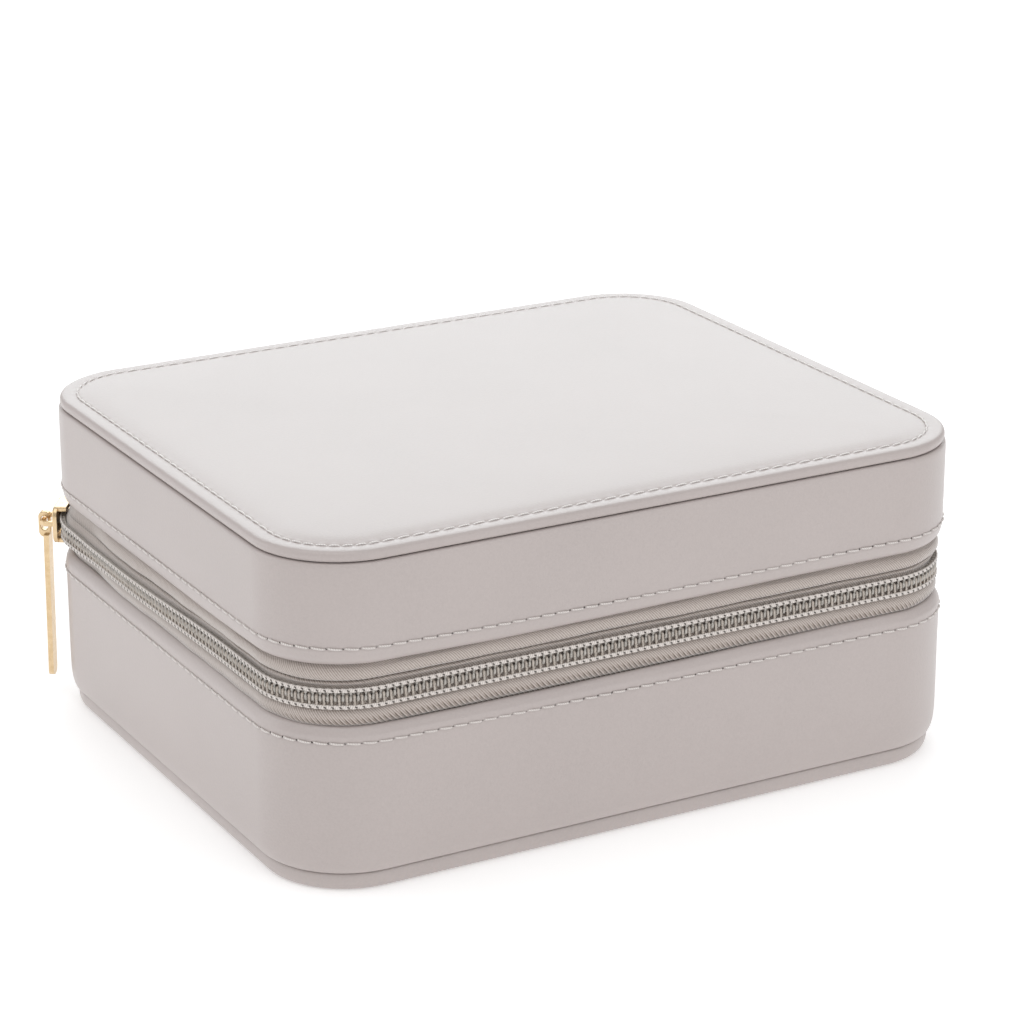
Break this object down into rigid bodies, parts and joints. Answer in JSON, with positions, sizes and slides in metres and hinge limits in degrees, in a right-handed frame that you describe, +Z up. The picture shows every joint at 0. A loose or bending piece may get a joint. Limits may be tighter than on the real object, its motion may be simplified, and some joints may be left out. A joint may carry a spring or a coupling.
{
  "type": "travel jewelry case",
  "caption": "Rounded soft-covered travel jewelry case with a padded hinged lid, a zip round three sides, a long slim pull, a lid mirror and a lift-out tray with ring rolls.",
  "frame": {"origin": "centre of the bottom panel's resting face", "axes": "+X along the long side to the right, -Y towards the zipped front, +Y towards the hinge, +Z up"},
  "size_m": [0.1829, 0.151, 0.081],
  "materials": {
    "leather": "smooth fine-grained coated leather, low sheen, greige",
    "board": "grey fibreboard",
    "foam": "open-cell foam sheet",
    "lining": "short-pile velvet",
    "zip_tape": "herringbone woven polyester tape",
    "zip_coil": "nylon monofilament coil, slightly translucent",
    "gold_metal": "light gold plated zinc, polished",
    "mirror_glass": "silvered glass",
    "ribbon": "satin ribbon"
  },
  "bodies": {
    "base": {"bottom_panel": "leather", "floor_board": "board", "floor_lining": "lining", "base_side_cover": "leather", "base_wall_board": "board", "base_wall_foam": "foam", "base_wall_lining": "lining", "tray_ledge": "lining", "lower_divider_long": "lining", "lower_divider_left": "lining", "lower_divider_right": "lining", "zipper_tape_lower": "zip_tape", "zipper_coil_lower": "zip_coil", "zipper_stop_lower": "gold_metal", "zipper_bottom_stop": "gold_metal", "hinge_spine": "leather", "hinge_lining": "lining"},
    "lid": {"lid_side_cover": "leather", "lid_top_panel": "leather", "lid_top_foam": "foam", "lid_top_board": "board", "lid_wall_board": "board", "lid_wall_foam": "foam", "lid_wall_lining": "lining", "lid_ceiling_lining": "lining", "mirror": "mirror_glass", "mirror_frame": "leather", "zipper_tape_upper": "zip_tape", "zipper_coil_upper": "zip_coil", "zipper_stop_upper": "gold_metal"},
    "slider": {"slider_body": "gold_metal", "slider_bail": "gold_metal"},
    "pull": {"pull_tab": "gold_metal"},
    "tray": {"tray_shell": "leather", "tray_floor_lining": "lining", "tray_divider_long": "lining", "tray_divider_front": "lining", "tray_divider_side": "lining", "tray_divider_back_left": "lining", "tray_divider_back_right": "lining", "ring_roll_bed": "lining", "ring_roll_1": "lining", "ring_roll_2": "lining", "ring_roll_3": "lining", "ring_roll_4": "lining", "ring_roll_5": "lining", "lift_ribbon_left": "ribbon", "lift_ribbon_right": "ribbon"}
  },
  "joints": [
    {"name": "lid_hinge", "type": "hinge", "parent": "base", "child": "lid", "pos_m": [0, 0.0726, 0.0468], "axis": [-1, 0, 0], "range_deg": [0, 110], "deforming": ["hinge_spine", "hinge_lining", "zipper_tape_upper", "zipper_coil_upper"]},
    {"name": "slider_travel", "type": "hinge", "parent": "base", "child": "slider", "pos_m": [-0.068, 0.0535, 0.0468], "axis": [0, 0, 1], "range_deg": [0, 34], "deforming": ["zipper_coil_lower", "zipper_coil_upper", "zipper_tape_lower", "zipper_tape_upper"]},
    {"name": "pull_swing", "type": "hinge", "parent": "slider", "child": "pull", "pos_m": [-0.09076, 0.06885, 0.0468], "axis": [0.5592, 0.829, 0], "range_deg": [0, 170]},
    {"name": "tray_lift", "type": "slide", "parent": "base", "child": "tray", "axis": [0, 0, 1], "range_m": [0, 0.026]}
  ]
}
